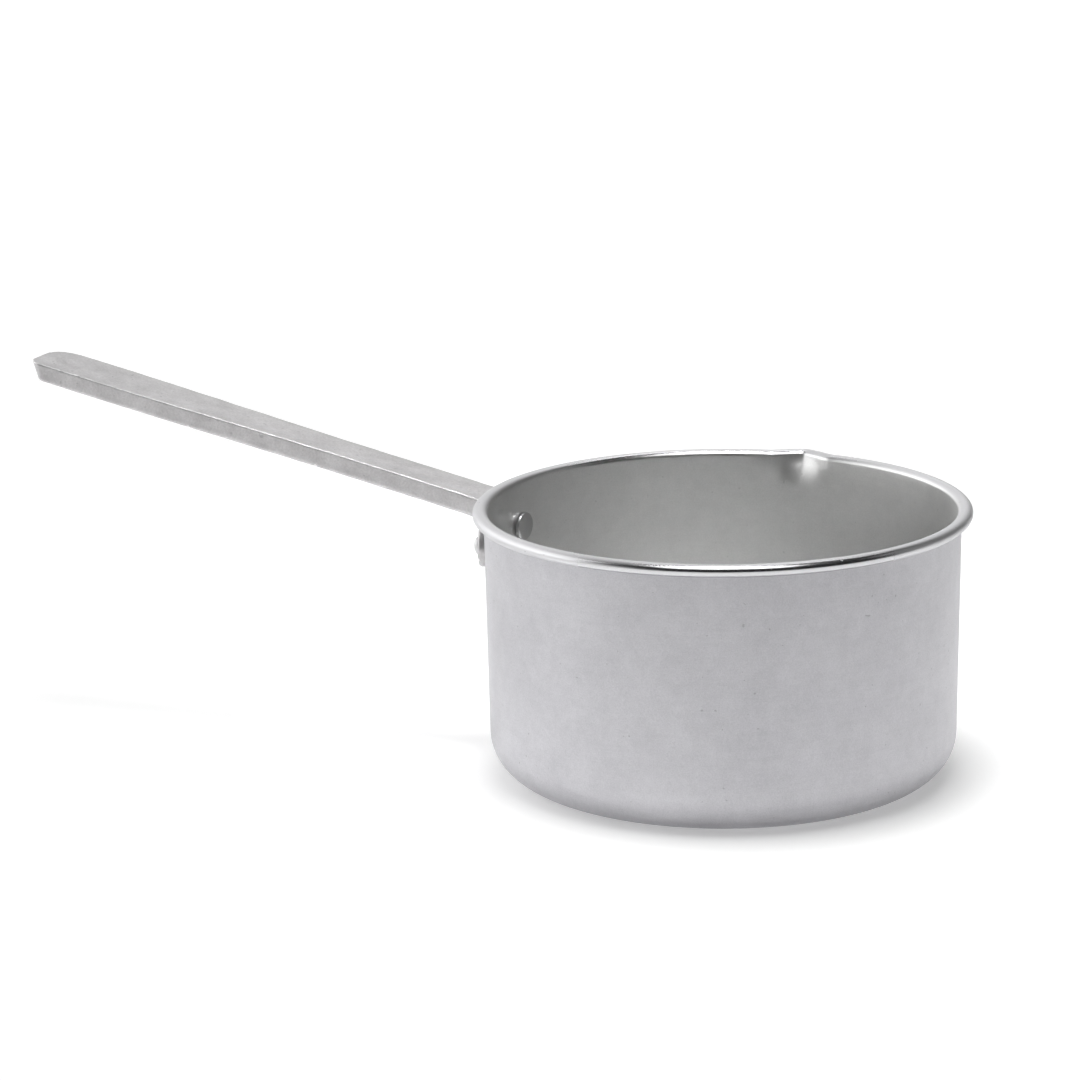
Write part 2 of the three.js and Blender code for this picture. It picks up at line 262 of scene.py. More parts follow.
def make_cup():
    section, marks = cup_section()
    even = np.linspace(-math.pi, math.pi, ROUND_STEPS, endpoint=False)
    offset = even - LIP_PACKING * np.sin(even)
    radius, z = section[:, 0][:, None], section[:, 1][:, None]
    on_axis = radius < SHEET
    waver = sum(height * np.sin(waves * offset + start) for waves, start, height in WAVERS)
    waver = waver * ease(z, CORNER_RADIUS, bead_z) - WALL_INSET
    pushed = radius + np.where(on_axis, 0, lip_push(offset, radius, z) + waver)
    angle = LIP_ANGLE + offset
    points = np.stack([pushed * np.cos(angle), pushed * np.sin(angle), z + 0 * pushed], -1)
    mesh = grid_mesh("cup", points, False, True)
    for name, row_values in marks.items():
        mark = mesh.attributes.new(name, "FLOAT", "POINT")
        mark.data.foreach_set("value", np.repeat(row_values, ROUND_STEPS).astype(np.float32))
    return new_object(merge_close(mesh))


cup = make_cup()
print("cup points", len(cup.data.vertices))

# %% [markdown]
# ## The handle
# The handle is one casting: a flat bar that widens towards its tip, a curved pad that lies on the wall,
# and soft fillets between them. It is drawn as three closed solids that overlap. The bar is drawn in its
# own frame, along, across and above its top face, because it slopes and the model's axes don't.

# %% Sizes of the handle, in its own frame
handle_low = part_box("handle")[0]
BAR_TILT = math.radians(13.3)
BAR_ROOT_WIDTH, BAR_TIP_WIDTH = 18.6 * MM, 24.2 * MM
BAR_ROOT_THICK, BAR_TIP_THICK = 7.2 * MM, 6.5 * MM
WIDEN_START, WIDEN_LENGTH = 40 * MM, 118 * MM
TIP_SLOPE = 4.4 * MM
TIP_CORNER_LIP_SIDE, TIP_CORNER_PLAIN_SIDE = 10 * MM, 4.2 * MM
ROOT_FLARE, FLARE_LENGTH = 0.9 * MM, 7 * MM
PAD_THICK = 3 * MM
DIMPLE_RADIUS, DIMPLE_DEPTH, DIMPLE_FROM_TIP = 5 * MM, 0.85 * MM, 11 * MM
bar_length = (-handle_low.x - RIM_OUTER) / math.cos(BAR_TILT)
along = Vector((-math.cos(BAR_TILT), 0, math.sin(BAR_TILT)))
normal = Vector((math.sin(BAR_TILT), 0, math.cos(BAR_TILT)))
root = Vector((-RIM_OUTER, 0, bead_z))
print("bar length", round(1000 * bar_length, 1), "mm")


def bar_to_model(s, y, h):
    """Turns places along, across and above the bar's top face into the model's frame."""
    s, y, h = np.broadcast_arrays(s, y, h)
    return np.stack([root.x + s * along.x + h * normal.x, y, root.z + s * along.z + h * normal.z], -1)


def bar_half_width(s):
    """Half the bar's width at a distance from the rim."""
    widened = ease(s, WIDEN_START, WIDEN_START + WIDEN_LENGTH)
    width = BAR_ROOT_WIDTH + (BAR_TIP_WIDTH - BAR_ROOT_WIDTH) * widened
    flare = ROOT_FLARE * np.clip(1 - s / FLARE_LENGTH, 0, 1) ** 2.5
    return width / 2 + np.where(s < 0, ROOT_FLARE, flare)


# %% [markdown]
# ## Rounded edges
# A bevel modifier could round the edges, but it stumbles where an outline curves tightly. Here a solid is
# a stack of layers instead. Each layer is the same outline, moved in a little near the top and the bottom
# edge, and the amounts follow a quarter circle. That gives each edge a radius of its own.

# %% Stack layers of an outline into a closed solid
def outline_normals(outline):
    step = np.roll(outline, -1, 0) - np.roll(outline, 1, 0)
    out = np.column_stack([step[:, 1], -step[:, 0]])
    return out / np.linalg.norm(out, axis=1)[:, None]


def edge_profile(depth, top_round, bottom_round, steps=6):
    """(inset, height) from the middle of the top, over its edge, down the side and under the bottom edge."""
    turn = np.radians(np.linspace(90, 0, steps + 1))
    inward, short_of_flat = 1 - np.cos(turn), 1 - np.sin(turn)
    top = np.column_stack([top_round * inward, -top_round * short_of_flat])
    low = np.column_stack([bottom_round * inward, bottom_round * short_of_flat - depth])
    return np.vstack([top, low[::-1]])


def layered_solid(outline, profile, place):
    """A closed mesh: one ring of the outline for each step of the profile, and a flat face at each end."""
    out = outline_normals(outline)
    rings = [place(outline - out * inset, height) for inset, height in profile]
    count, n = len(rings), len(outline)
    points = np.concatenate(rings)
    faces = [(i * n + j, i * n + (j + 1) % n, (i + 1) * n + (j + 1) % n, (i + 1) * n + j)
             for i in range(count - 1) for j in range(n)]
    faces.append(tuple(reversed(range(n))))
    faces.append(tuple(range((count - 1) * n, count * n)))
    return points, faces


# %% [markdown]
# ## The bar
# The bar's tip is cut flat and leans under a little, and its corner on the lip's side is much rounder than
# the other. So the two sides of the outline come from one function, with a corner radius for each.

# %% Draw the bar
TOP_EDGE, LOWER_EDGE = 0.45 * MM, 1.2 * MM


def bar_side(sideways, corner):
    """One side of the outline, from the wall to the tip, and then its corner."""
    s = np.concatenate([np.linspace(-BEAD_WIDTH, FLARE_LENGTH, 16),
                        np.linspace(FLARE_LENGTH, bar_length - corner, 70)[1:]])
    straight = np.column_stack([s, sideways * bar_half_width(s)])
    middle = (bar_length - corner, sideways * (BAR_TIP_WIDTH / 2 - corner))
    return np.vstack([straight, ellipse(middle, (corner, sideways * corner), 90, 0, 24)[1:]])


def bar_solid():
    plain, lip = bar_side(-1, TIP_CORNER_PLAIN_SIDE), bar_side(1, TIP_CORNER_LIP_SIDE)
    outline = np.vstack([plain, lip[::-1]])
    slope_start = bar_length - TIP_CORNER_LIP_SIDE

    def place(ring, height):
        share = np.clip(ring[:, 0] / bar_length, 0, 1)
        thick = BAR_ROOT_THICK + (BAR_TIP_THICK - BAR_ROOT_THICK) * share
        lean = TIP_SLOPE * np.clip((ring[:, 0] - slope_start) / TIP_CORNER_LIP_SIDE, 0, 1)
        depth = height / BAR_ROOT_THICK
        return bar_to_model(ring[:, 0] + lean * depth, ring[:, 1], depth * thick)
    return layered_solid(outline, edge_profile(BAR_ROOT_THICK, TOP_EDGE, LOWER_EDGE), place)


print("points in the bar:", len(bar_solid()[0]))

# %% [markdown]
# ## The pad
# The pad is the flange that the rivets hold: two round ears, one each side of the bar, on a plate that is
# curved like the wall. Its outline is drawn flat and then wrapped round the wall, which keeps the ears
# round. Under the bar a gusset with a hollow curve fills the inside corner.

# %% Draw the pad and the gusset
EAR_RADIUS, NECK_FILLET = 7.5 * MM, 3 * MM
NECK_MARGIN = 0.6 * MM                 # the neck is wider than the bar by this much on each side
PAD_EDGE = 1.1 * MM
GUSSET_SIZE = 1.3 * NECK_FILLET
GUSSET_INSET, GUSSET_BITE, GUSSET_OVERLAP = 0.4 * MM, 1.5 * MM, 2 * MM
rivet_low, rivet_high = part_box("rivet_back")
rivet_middle = (rivet_low + rivet_high) / 2
rivet_z = rivet_middle.z
rivet_angle = abs(math.atan2(rivet_middle.y, -rivet_middle.x))
rivet_across = rivet_angle * wall_radius(rivet_z)


def pad_solid():
    neck, top = BAR_ROOT_WIDTH / 2 + NECK_MARGIN, bead_z
    ear_top = rivet_z + EAR_RADIUS
    half = np.vstack([
        ellipse((rivet_across, rivet_z), (EAR_RADIUS, EAR_RADIUS), -90, 90, 30),
        ellipse((neck + NECK_FILLET, ear_top + NECK_FILLET), (NECK_FILLET, NECK_FILLET), 270, 180, 10),
        [[neck, top]],
    ])
    outline = np.vstack([half, (half * [-1, 1])[::-1]])

    def place(ring, height):
        radius = wall_radius(ring[:, 1]) + PAD_THICK + height
        turn = ring[:, 0] / wall_radius(rivet_z)
        return np.column_stack([-radius * np.cos(turn), radius * np.sin(turn), ring[:, 1]])
    return layered_solid(outline, edge_profile(PAD_THICK, PAD_EDGE, 0), place)


def gusset_solid():
    """Fills the corner under the bar with a hollow curve."""
    corner = wall_top + PAD_THICK
    under = bead_z - BAR_ROOT_THICK / math.cos(BAR_TILT)
    size = GUSSET_SIZE
    into_pad, into_bar = corner - GUSSET_BITE, under + GUSSET_OVERLAP
    curve = ellipse((corner + size, under - size), (size, size), 180, 90, 12)
    back = [[into_pad, into_bar], [into_pad, under - size]]
    section = np.vstack([back, curve, [[corner + size, into_bar]]])
    half = BAR_ROOT_WIDTH / 2 - GUSSET_INSET
    height = section[:, 1] + (section[:, 0] - RIM_OUTER) * math.tan(BAR_TILT)
    ends = [np.column_stack([-section[:, 0], 0 * height + y, height]) for y in (-half, half)]
    n = len(section)
    faces = [(j, (j + 1) % n, n + (j + 1) % n, n + j) for j in range(n)]
    return np.concatenate(ends), faces + [tuple(reversed(range(n))), tuple(range(n, 2 * n))]


print("points in the pad:", len(pad_solid()[0]), "and in the gusset:", len(gusset_solid()[0]))

# %% [markdown]
# ## One casting
# A boolean union would leave hard creases where the solids meet, and a casting has none. A voxel remesh
# joins the three into one skin of even small faces. Away from the joins the skin is snapped back to the
# drawn surfaces, which keeps them crisp. At the joins it is relaxed, which gives soft inside corners.

# %% Join the three solids into one casting
VOXEL = 0.42 * MM
RELAX_STEPS = 14
JOINT_ABOVE_RIVET = (3 * MM, 6 * MM)   # the joins begin this far above the rivets
JOINT_FROM_RIM = (4 * MM, 9 * MM)      # and end this far out from the rim


def stacked_mesh(name, solids):
    points, faces = [], []
    for solid_points, solid_faces in solids:
        start = sum(len(p) for p in points)
        points.append(solid_points)
        faces += [tuple(start + i for i in face) for face in solid_faces]
    mesh = bpy.data.meshes.new(name)
    mesh.from_pydata(np.concatenate(points).tolist(), [], faces)
    return merge_close(mesh)


def bake_modifiers(made):
    """Replaces an object's mesh by what its modifiers make of it."""
    depsgraph = bpy.context.evaluated_depsgraph_get()
    depsgraph.update()
    finished = bpy.data.meshes.new_from_object(made.evaluated_get(depsgraph))
    made.modifiers.clear()
    made.data = finished


def positions(mesh):
    flat = np.empty(len(mesh.vertices) * 3, np.float32)
    mesh.vertices.foreach_get("co", flat)
    return flat.reshape(-1, 3).astype(float)


def write_positions(mesh, points):
    mesh.vertices.foreach_set("co", points.astype(np.float32).ravel())
    mesh.update()


def weight_group(made, name, weights):
    group = made.vertex_groups.new(name=name)
    for index, weight in enumerate(weights):
        if weight > 0.01:
            group.add([index], float(weight), "REPLACE")
    return group.name


def cast_together():
    drawn = new_object(stacked_mesh("handle_drawn", [bar_solid(), pad_solid(), gusset_solid()]))
    handle = new_object(drawn.data.copy())
    handle.name = handle.data.name = "handle_casting"
    remesh = handle.modifiers.new("skin", "REMESH")
    remesh.mode, remesh.voxel_size = "VOXEL", VOXEL
    bake_modifiers(handle)
    points = positions(handle.data)
    from_wall = np.hypot(points[:, 0], points[:, 1]) - RIM_OUTER
    above_rivet = ease(points[:, 2] - rivet_z, *JOINT_ABOVE_RIVET)
    near = (1 - ease(from_wall, *JOINT_FROM_RIM)) * above_rivet
    snap = handle.modifiers.new("snap", "SHRINKWRAP")
    snap.target, snap.vertex_group = drawn, weight_group(handle, "plain", 1 - near)
    relax = handle.modifiers.new("relax", "SMOOTH")
    relax.factor, relax.iterations = 0.5, RELAX_STEPS
    relax.vertex_group = weight_group(handle, "joint", near)
    bake_modifiers(handle)
    bpy.data.objects.remove(drawn)
    return handle


handle = cast_together()
print("handle skin", len(handle.data.vertices), "points")

# %% [markdown]
# ## Fitting the casting
# The casting is then fitted to the cup. Any point that would be inside the wall or the rolled rim moves
# straight out to just clear of it, so the pad lies on the wall and the bar hugs the rim. The same pass
# presses the round mark near the tip, and gives the faces the slight unevenness of a sand-cast surface.

# %% Fit the casting to the cup, press the mark and rough the surface
CLEARANCE = 0.06 * MM
UNDER_BEAD = 0.55                      # points this near the wall, in half beads, move down and not out
TOP_FACE = (-1.2 * MM, -0.3 * MM)      # heights between which the dimple's press takes hold
RIDGE_HEIGHT, RIDGE_PLACE, RIDGE_WIDTH = 0.10 * MM, 1.08, 0.12    # places in dimple radii
WAVES = ((9 * MM, 0.10 * MM), (2.6 * MM, 0.035 * MM))             # size and depth of the unevenness
CAST_INSET = 0.14 * MM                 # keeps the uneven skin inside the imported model


def clear_of_cup(points):
    """Moves each point that would be inside the wall or the rolled rim to just clear of it."""
    radius, z = np.hypot(points[:, 0], points[:, 1]), points[:, 2]
    fitted = np.maximum(radius, wall_radius(z) + CLEARANCE)
    half_w, half_h = BEAD_WIDTH / 2 + CLEARANCE, BEAD_HEIGHT / 2 + CLEARANCE
    out, up = (fitted - bead_radius) / half_w, (z - bead_z) / half_h
    reach = np.hypot(out, up)
    inside = reach < 1
    down = inside & (out < UNDER_BEAD)
    under = bead_z - half_h * np.sqrt(np.clip(1 - out ** 2, 0, 1))
    new_z = np.where(down, np.minimum(z, under), z)
    side = inside & ~down
    new_r = np.where(side, bead_radius + half_w * out / np.maximum(reach, 1e-6), fitted)
    new_z = np.where(side, bead_z + half_h * up / np.maximum(reach, 1e-6), new_z)
    scale = new_r / np.maximum(radius, 1e-9)
    return np.column_stack([points[:, 0] * scale, points[:, 1] * scale, new_z])


def casting_roughness(points, size, depth):
    """Small uneven height at each point, from smooth noise of a given size."""
    return np.array([noise.noise(Vector(p) / size) for p in points]) * depth


def finish_casting(handle):
    points = positions(handle.data)
    relative = points - np.array(root)
    s, h = relative @ np.array(along), relative @ np.array(normal)
    from_mark = np.hypot(s - (bar_length - DIMPLE_FROM_TIP), points[:, 1]) / DIMPLE_RADIUS
    top = ease(h, *TOP_FACE)
    bowl = np.where(from_mark < 1, (np.cos(np.pi * np.clip(from_mark, 0, 1)) + 1) / 2, 0)
    ridge = RIDGE_HEIGHT * np.exp(-((from_mark - RIDGE_PLACE) / RIDGE_WIDTH) ** 2)
    points -= np.outer((bowl * DIMPLE_DEPTH - ridge) * top, np.array(normal))
    normals = np.empty(len(points) * 3, np.float32)
    handle.data.vertices.foreach_get("normal", normals)
    uneven = sum(casting_roughness(points, size, depth) for size, depth in WAVES)
    points += normals.reshape(-1, 3) * (uneven - CAST_INSET)[:, None]
    write_positions(handle.data, clear_of_cup(points))


finish_casting(handle)
print("handle reaches", [round(1000 * size, 1) for size in handle.dimensions], "mm")

# %% [markdown]
# ## The rivets
# Each rivet is a soft aluminium pin. Its flat head is on the inside, where wax has to wipe clean, and its
# tail is hammered to a low button outside the pad. It is a turned shape, so its section is drawn and
# turned about its own axis, which is then laid along the line out from the cup's axis.

# %% Make the rivets
HEAD_RADIUS, HEAD_HEIGHT, HEAD_EDGE = 4.95 * MM, 1.6 * MM, 0.55 * MM
SHANK_RADIUS = 2.3 * MM
BUTTON_RADIUS, BUTTON_HEIGHT = 3.25 * MM, 1.8 * MM
HEAD_CROWN = 0.12 * MM                 # the head's face is very slightly domed
HEAD_GAP = 0.3 * MM                    # a flat head can't touch a curved wall all round
BUTTON_GAP = 0.05 * MM
BUTTON_UNDERCUT = 0.96                 # the button's foot is this part of its full radius
BUTTON_START = 12                      # degrees up the button's curve at which its side begins
RIVET_STEPS = 72


def rivet_section():
    """(radius, distance out from the wall's outer face)."""
    wall_hollow = HEAD_RADIUS ** 2 / (2 * rim_radius)
    seat = -SHEET - wall_hollow - HEAD_GAP
    face = seat - HEAD_HEIGHT
    button_seat = PAD_THICK + BUTTON_GAP
    edge = HEAD_RADIUS - HEAD_EDGE
    radii = np.linspace(0, edge, 8)
    return np.vstack([
        np.column_stack([radii, face - HEAD_CROWN * (1 - (radii / edge) ** 2)])[:-1],
        ellipse((edge, face + HEAD_EDGE), (HEAD_EDGE, HEAD_EDGE), -90, 0, 8),
        [[HEAD_RADIUS, seat], [SHANK_RADIUS, seat], [SHANK_RADIUS, button_seat]],
        [[BUTTON_RADIUS * BUTTON_UNDERCUT, button_seat]],
        ellipse((0, button_seat), (BUTTON_RADIUS, BUTTON_HEIGHT), BUTTON_START, 90, 14),
    ])


def make_rivet(name, side):
    section = rivet_section()
    turn = np.linspace(0, 2 * math.pi, RIVET_STEPS, endpoint=False)
    out = wall_radius(rivet_z) + section[:, 1][:, None] + 0 * turn
    sideways = section[:, 0][:, None] * np.cos(turn)
    height = rivet_z + section[:, 0][:, None] * np.sin(turn)
    angle = math.pi + side * rivet_angle
    points = np.stack([out * math.cos(angle) - sideways * math.sin(angle),
                       out * math.sin(angle) + sideways * math.cos(angle), height], -1)
    return new_object(merge_close(grid_mesh(name, points, False, True)))


rivet_bodies = {"rivet_front": make_rivet("front_rivet", 1), "rivet_back": make_rivet("back_rivet", -1)}
print("rivets stand", round(2000 * rivet_across, 1), "mm apart round the wall")

# %% [markdown]
# ## Writing shader maths as Python
# A finish is a small sum over the surface: how high the grain stands, how dull a spot is. Building that
# from single nodes hides the sum. `Amount` wraps a socket, so that `1 - mask * 0.3` adds the Math nodes
# itself. `Finish` makes a material and adds every other node through one method.

# %% The two shader classes
class Amount:
    """A number over the surface, which joins in ordinary arithmetic."""

    def __init__(self, finish, socket):
        self.finish, self.socket = finish, socket

    def _combine(self, operation, first, second):
        node = self.finish.node("ShaderNodeMath", {"operation": operation}, {0: first, 1: second})
        return Amount(self.finish, node.outputs[0])

    def __add__(self, other):
        return self._combine("ADD", self, other)

    def __radd__(self, other):
        return self._combine("ADD", other, self)

    def __sub__(self, other):
        return self._combine("SUBTRACT", self, other)

    def __rsub__(self, other):
        return self._combine("SUBTRACT", other, self)

    def __mul__(self, other):
        return self._combine("MULTIPLY", self, other)

    def __rmul__(self, other):
        return self._combine("MULTIPLY", other, self)


class Graph:
    """A node tree, whose nodes all come from node()."""

    def __init__(self, tree):
        self.tree = tree

    def node(self, kind, settings=None, inputs=None):
        made = self.tree.nodes.new(kind)
        for name, value in (settings or {}).items():
            setattr(made, name, value)
        for name, value in (inputs or {}).items():
            self.feed(made.inputs[name], value)
        return made

    def feed(self, socket, value):
        if isinstance(value, Amount):
            value = value.socket
        if isinstance(value, bpy.types.NodeSocket):
            self.tree.links.new(value, socket)
        else:
            socket.default_value = value

    def ramp(self, value, low, high, smooth=True):
        """0 below low and 1 above high. The two may be the other way round."""
        kind = "SMOOTHSTEP" if smooth else "LINEAR"
        made = self.node("ShaderNodeMapRange", {"interpolation_type": kind},
                         {"Value": value, "From Min": low, "From Max": high, "To Min": 0.0, "To Max": 1.0})
        return Amount(self, made.outputs["Result"])

    def mix(self, amount, first, second):
        """One colour where amount is 0 and another where it is 1."""
        return self.node("ShaderNodeMix", {"data_type": "RGBA"}, {0: amount, 6: first, 7: second}).outputs[2]

    def along(self, vector, direction):
        """How much of a vector lies along a direction."""
        made = self.node("ShaderNodeVectorMath", {"operation": "DOT_PRODUCT"}, {0: vector, 1: direction})
        return Amount(self, made.outputs["Value"])


class Finish(Graph):
    """A material whose shader's constant sockets are set once."""

    def __init__(self, name, **constants):
        self.material = bpy.data.materials.new(name)
        self.material.use_nodes = True
        super().__init__(self.material.node_tree)
        self.shader = self.tree.nodes["Principled BSDF"]
        for socket, value in constants.items():
            self.shader.inputs[socket.replace("_", " ")].default_value = value
        self.place = self.node("ShaderNodeTexCoord").outputs["Object"]

    def noise(self, scale, detail=2, roughness=0.5, stretch=(1, 1, 1)):
        """Soft noise from 0 to 1. scale is in lumps a metre, and stretch packs them closer along an axis."""
        place = self.node("ShaderNodeVectorMath", {"operation": "MULTIPLY"}, {0: self.place, 1: stretch})
        inputs = {"Vector": place.outputs["Vector"], "Scale": scale,
                  "Detail": detail, "Roughness": roughness}
        made = self.node("ShaderNodeTexNoise", {"noise_dimensions": "3D"}, inputs)
        return Amount(self, made.outputs["Fac"])

    def mark(self, name):
        """A value that the mesh carries at each point."""
        return Amount(self, self.node("ShaderNodeAttribute", {"attribute_name": name}).outputs["Fac"])

    def relief(self, height, distance, strength=1.0):
        """Feeds a height from 0 to 1 to the shader's normal. distance is the height of 1, in metres."""
        inputs = {"Height": height, "Distance": distance, "Strength": strength}
        bump = self.node("ShaderNodeBump", {}, inputs)
        self.feed(self.shader.inputs["Normal"], bump.outputs["Normal"])


# %% [markdown]
# ## The sheet's finish
# Aluminium sheet that has been etched or blasted has a very fine even grain. Seen close it is speckled,
# and from further off it has soft clouds, faint rings from the spinning, and a few dark specks. The
# inside is given much lighter colours than the outside: that is painted light, standing in for the light
# that fills the cup. The inside also has a neutral tint and fewer specks, as wax keeps it cleaner. The
# rolled rim was pressed by a steel roller, so it shines, except where it is scuffed at the handle's end
# and opposite it. The marks that the mesh carries mix these finishes, so one material follows one sheet.

# %% Sheet aluminium
# The outside colours are the sheet's own tone. The inside colours are painted light: far lighter, to stand
# in for the light inside the cup.
OUTSIDE_SHEET_DARK, OUTSIDE_SHEET_LIGHT = (0.44, 0.436, 0.458, 1), (0.575, 0.57, 0.592, 1)
PAINTED_LIT_INSIDE_DARK, PAINTED_LIT_INSIDE_LIGHT = (0.71, 0.71, 0.705, 1), (0.83, 0.83, 0.825, 1)
SPECK, ROLLED = (0.25, 0.25, 0.25, 1), (0.655, 0.655, 0.665, 1)
SCUFF_TURN = math.radians(20)          # the scuffed ends lie on a line turned this far from the handle
SCUFF_NEAR, SCUFF_FAR = 0.035, 0.075   # metres along that line over which the scuffs set in
scuff_line = (math.cos(SCUFF_TURN), math.sin(SCUFF_TURN), 0)


def sheet_finish():
    sheet = Finish("sheet_aluminium", Metallic=1.0)
    grain = sheet.noise(2300, detail=3, roughness=0.7)
    clouds = sheet.noise(42, detail=4, roughness=0.55)
    fine_clouds = sheet.noise(230, detail=3, roughness=0.6)
    turned = sheet.noise(60, detail=5, roughness=0.7, stretch=(1, 1, 14))
    specks = sheet.ramp(sheet.noise(620, detail=1, roughness=0.4), 0.765, 0.79)
    rim, inside = sheet.mark("rim"), sheet.mark("inside")

    tone = 0.26 * clouds + 0.18 * fine_clouds + 0.46 * grain + 0.10 * turned
    even = sheet.ramp(tone, 0.38, 0.62, smooth=False)
    outside_sheet = sheet.mix(even, OUTSIDE_SHEET_DARK, OUTSIDE_SHEET_LIGHT)
    # Painted light: the inside takes much lighter colours than the outside.
    painted_lit_inside = sheet.mix(even, PAINTED_LIT_INSIDE_DARK, PAINTED_LIT_INSIDE_LIGHT)
    wall = sheet.mix(inside, outside_sheet, painted_lit_inside)
    marked = sheet.mix(specks * (0.45 - 0.3 * inside), wall, SPECK)
    colour = sheet.mix(rim * (0.8 - 0.6 * specks), marked, ROLLED)
    sheet.feed(sheet.shader.inputs["Base Color"], colour)

    wall_rough = 0.34 + 0.08 * clouds + 0.06 * fine_clouds + 0.10 * specks
    sideways = sheet.along(sheet.place, scuff_line)
    scuffed = sheet.ramp(sideways * sideways, SCUFF_NEAR ** 2, SCUFF_FAR ** 2)
    rim_rough = 0.17 + 0.08 * fine_clouds + 0.2 * specks + 0.27 * scuffed
    sheet.feed(sheet.shader.inputs["Roughness"], wall_rough * (1 - rim) + rim_rough * rim)
    skin = grain + 0.5 * fine_clouds + 0.5 * turned - 1.2 * specks
    sheet.relief(skin * (1 - 0.8 * rim), 0.045 * MM, 0.9)
    return sheet.material


# %% [markdown]
# ## The casting's finish
# A sand casting that has been tumbled is duller than sheet, with a warmer grey, a fine pebbled skin and
# small dark pits. Rubbing polishes its long edges, which are made a little smoother, and their colour is
# raised to near white as a painted highlight: the thin bright line, broken here and there by a knock.
# Pointiness tells where a surface is sharp, so no edge needs a mask of its own.

# %% Cast aluminium
CAST_DARK, CAST_LIGHT = (0.485, 0.475, 0.48, 1), (0.66, 0.65, 0.655, 1)
# The near-white edge colour is a painted highlight on the rubbed edges.
PIT, POLISH_AND_HIGHLIGHT = (0.36, 0.36, 0.37, 1), (0.92, 0.92, 0.92, 1)


def cast_finish():
    cast = Finish("cast_aluminium", Metallic=1.0)
    pebble = cast.noise(1300, detail=3, roughness=0.6)
    blotch = cast.noise(120, detail=4, roughness=0.6)
    pits = cast.ramp(cast.noise(520, detail=1, roughness=0.5), 0.70, 0.78)
    edge = Amount(cast, cast.node("ShaderNodeNewGeometry").outputs["Pointiness"])
    knocks = cast.ramp(cast.noise(170, detail=2, roughness=0.6), 0.60, 0.66)
    # Sharp edges: smoother as real polish, and given a painted highlight colour below.
    edge_polish_and_highlight = cast.ramp(edge, 0.52, 0.56) * (1 - 0.85 * knocks)

    tone = 0.55 * blotch + 0.45 * pebble
    skin = cast.mix(cast.ramp(tone, 0.36, 0.64, smooth=False), CAST_DARK, CAST_LIGHT)
    skin = cast.mix(pits * 0.5, skin, PIT)
    # Painted highlight: the sharp edges are mixed towards near white.
    cast.feed(cast.shader.inputs["Base Color"], cast.mix(edge_polish_and_highlight * (0.6 - 0.4 * pits), skin, POLISH_AND_HIGHLIGHT))
    cast.feed(cast.shader.inputs["Roughness"], 0.42 + 0.12 * blotch + 0.1 * pits - 0.08 * edge_polish_and_highlight)
    cast.relief((pebble + 0.6 * blotch - 0.8 * pits) * (1 - 0.5 * edge_polish_and_highlight), 0.09 * MM, 0.9)
    return cast.material


# %% [markdown]
# ## The rivets' finish
# Rivets are made of soft wire and are pressed between smooth steel dies, so they are a little shinier than
# the sheet and have a much finer grain. Two noises are enough at this size.

# %% Rivet aluminium
RIVET_DARK, RIVET_LIGHT = (0.54, 0.54, 0.55, 1), (0.64, 0.64, 0.64, 1)


def rivet_finish():
    rivet = Finish("rivet_aluminium", Metallic=1.0)
    fine = rivet.noise(1900, detail=2)
    soft = rivet.noise(300, detail=3)
    rivet.feed(rivet.shader.inputs["Base Color"], rivet.mix(soft, RIVET_DARK, RIVET_LIGHT))
    rivet.feed(rivet.shader.inputs["Roughness"], 0.30 + 0.10 * soft)
    rivet.relief(fine, 0.02 * MM, 0.7)
    return rivet.material


# %% Hang the pieces on the model
rivet_material = rivet_finish()
as_piece(cup, "pot", sheet_finish())
as_piece(handle, "handle", cast_finish())
for node, body in rivet_bodies.items():
    as_piece(body, node, rivet_material)

# %% [markdown]
# ## The floor
# The pot stands on a pale table that runs out past the edges of the view. It is one flat face, because a
# raised back would show its own bend in the metal. A faint glow lifts the shade under the pot, as a lit
# table does.

# %% Floor
FLOOR_REACH = 8.0
FLOOR_GLOW = 0.3


def make_floor():
    corner = np.array([-FLOOR_REACH, FLOOR_REACH])
    x, y = np.meshgrid(corner, corner)
    floor = new_object(grid_mesh("floor", np.stack([x, y, 0 * x], -1), False, False))
    paint = Finish("pale_floor", Base_Color=(0.88, 0.88, 0.88, 1), Roughness=0.9, Specular_IOR_Level=0.1,
                   Emission_Color=(1, 1, 1, 1), Emission_Strength=FLOOR_GLOW)
    floor.data.materials.append(paint.material)
    print("floor", 2 * FLOOR_REACH, "m across")


make_floor()

# %% [markdown]
# ## The lamps
# Bare metal shows its lamps, so they are few, large and soft. One in front and above carries the wall and
# the inside. Boxes at the left and the right lift the ends of the round wall, and one behind draws the top
# of the bar and the back of the rim. A small box straight above and a wide one far behind light only the
# table, the near part and the far part.

# %% Lights
def soft_box(name, place, aim, size, power, spread=180):
    light = bpy.data.lights.new(name, "AREA")
    light.shape, light.size, light.size_y, light.energy = "RECTANGLE", size[0], size[1], power
    light.spread = math.radians(spread)
    lamp = bpy.data.objects.new(name, light)
    lamp.location = place
    lamp.rotation_euler = (Vector(aim) - Vector(place)).to_track_quat("-Z", "Y").to_euler()
    bpy.context.scene.collection.objects.link(lamp)
    print(name, power, "W")


def around(azimuth, distance, height):
    """A place round the pot. Azimuth 0 is the camera's side, and it grows to the camera's right."""
    turn = CAMERA_AZIMUTH + math.radians(azimuth) - math.pi / 2
    return Vector((distance * math.cos(turn), distance * math.sin(turn), height))


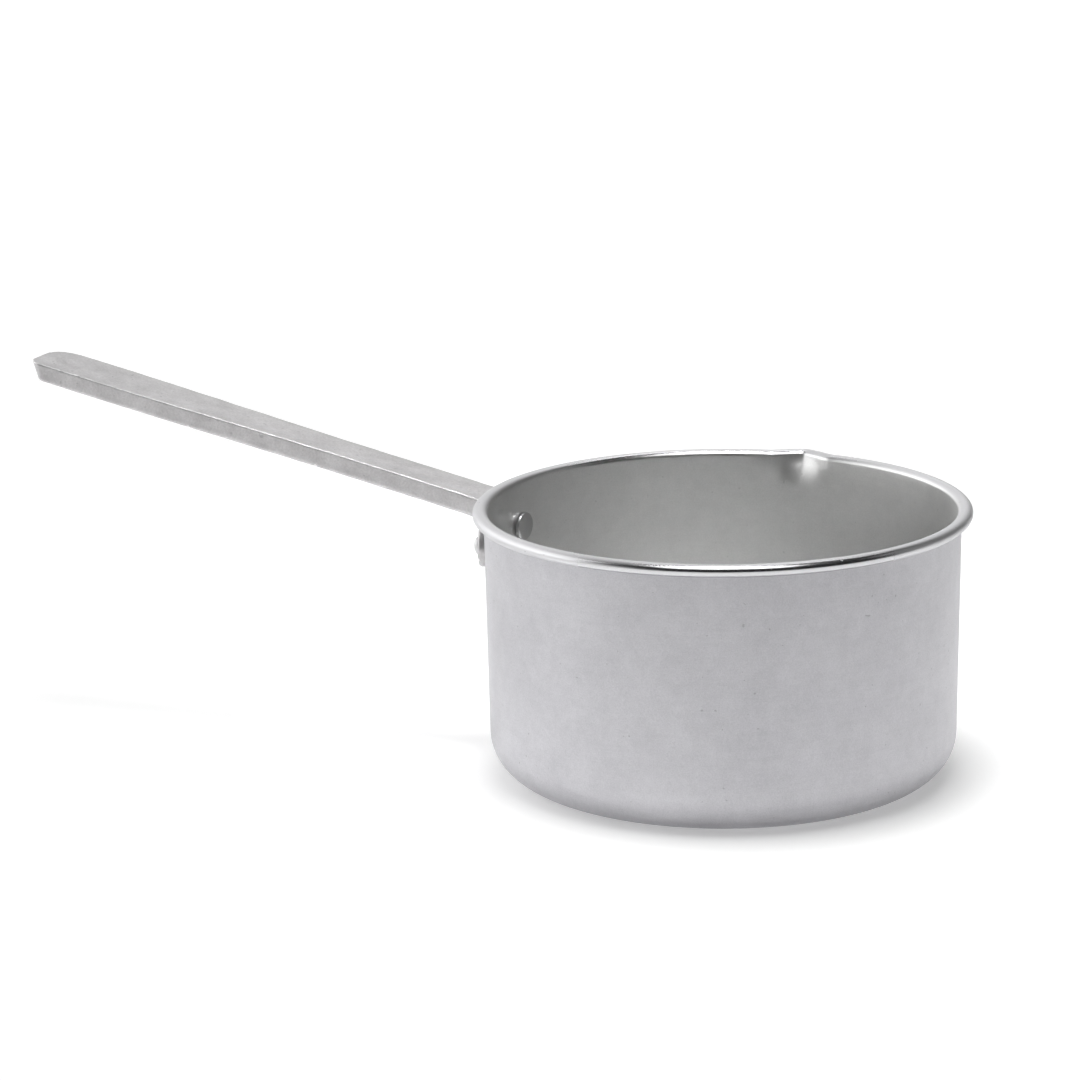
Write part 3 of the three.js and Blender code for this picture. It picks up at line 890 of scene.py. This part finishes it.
cup_middle, table_middle, bar_root = (0, 0, 0.05), (0, 0, 0), (-0.1, 0, 0.1)
soft_box("front_high", around(0, 0.55, 1.6), cup_middle, (1.2, 0.7), 8)
soft_box("pool", around(0, 0.02, 1.2), table_middle, (0.3, 0.3), 0.6, spread=50)
soft_box("left_box", around(-90, 1.2, 0.6), cup_middle, (0.9, 1.1), 2.6)
soft_box("left_back_box", around(-130, 1.3, 0.5), cup_middle, (0.8, 0.8), 2)
soft_box("right_box", around(95, 1.2, 0.55), cup_middle, (0.7, 1.1), 0.6)
soft_box("back_box", around(160, 1.3, 1.15), bar_root, (1.0, 0.7), 0.9)
soft_box("floor_box", around(180, 2.6, 2.2), around(180, 2.6, 0), (4.0, 2.6), 45, spread=80)

# %% [markdown]
# ## The room
# The room is what makes bare metal look real: a bright wall behind and to the left, a lit left side, and a
# dark side where the camera stands. That dark side is what draws the thin dark line along the round rim.
# It is painted in the world's colour by direction, which costs nothing and has no edges of its own.

# %% The room
ROOM_BACK, ROOM_LEFT, ROOM_REST = 0.9, 0.55, 0.02
ROOM_TURN = math.radians(38)           # the bright wall stands this far to the left of straight behind


def make_room():
    world = bpy.data.worlds.new("studio")
    world.use_nodes = True
    room = Graph(world.node_tree)
    direction = room.node("ShaderNodeTexCoord").outputs["Generated"]
    wall_way = ahead * math.cos(ROOM_TURN) - right * math.sin(ROOM_TURN)
    behind = room.ramp(room.along(direction, (wall_way.x, wall_way.y, 0)), 0, 0.8)
    low = room.ramp(room.along(direction, (0, 0, 1)), 0.5, 0.15)
    to_left = room.ramp(room.along(direction, -right), 0.4, 0.9) * low
    brightest = ROOM_BACK + ROOM_LEFT + ROOM_REST
    shade = (ROOM_BACK * behind + ROOM_LEFT * to_left + ROOM_REST) * (1 / brightest)
    background = world.node_tree.nodes["Background"]
    room.feed(background.inputs["Color"], room.mix(shade, (0, 0, 0, 1), (1, 1, 1, 1)))
    background.inputs["Strength"].default_value = brightest
    bpy.context.scene.world = world
    print("the room's brightest wall is", round(brightest, 2))


make_room()
bpy.context.scene.view_settings.view_transform = "Standard"
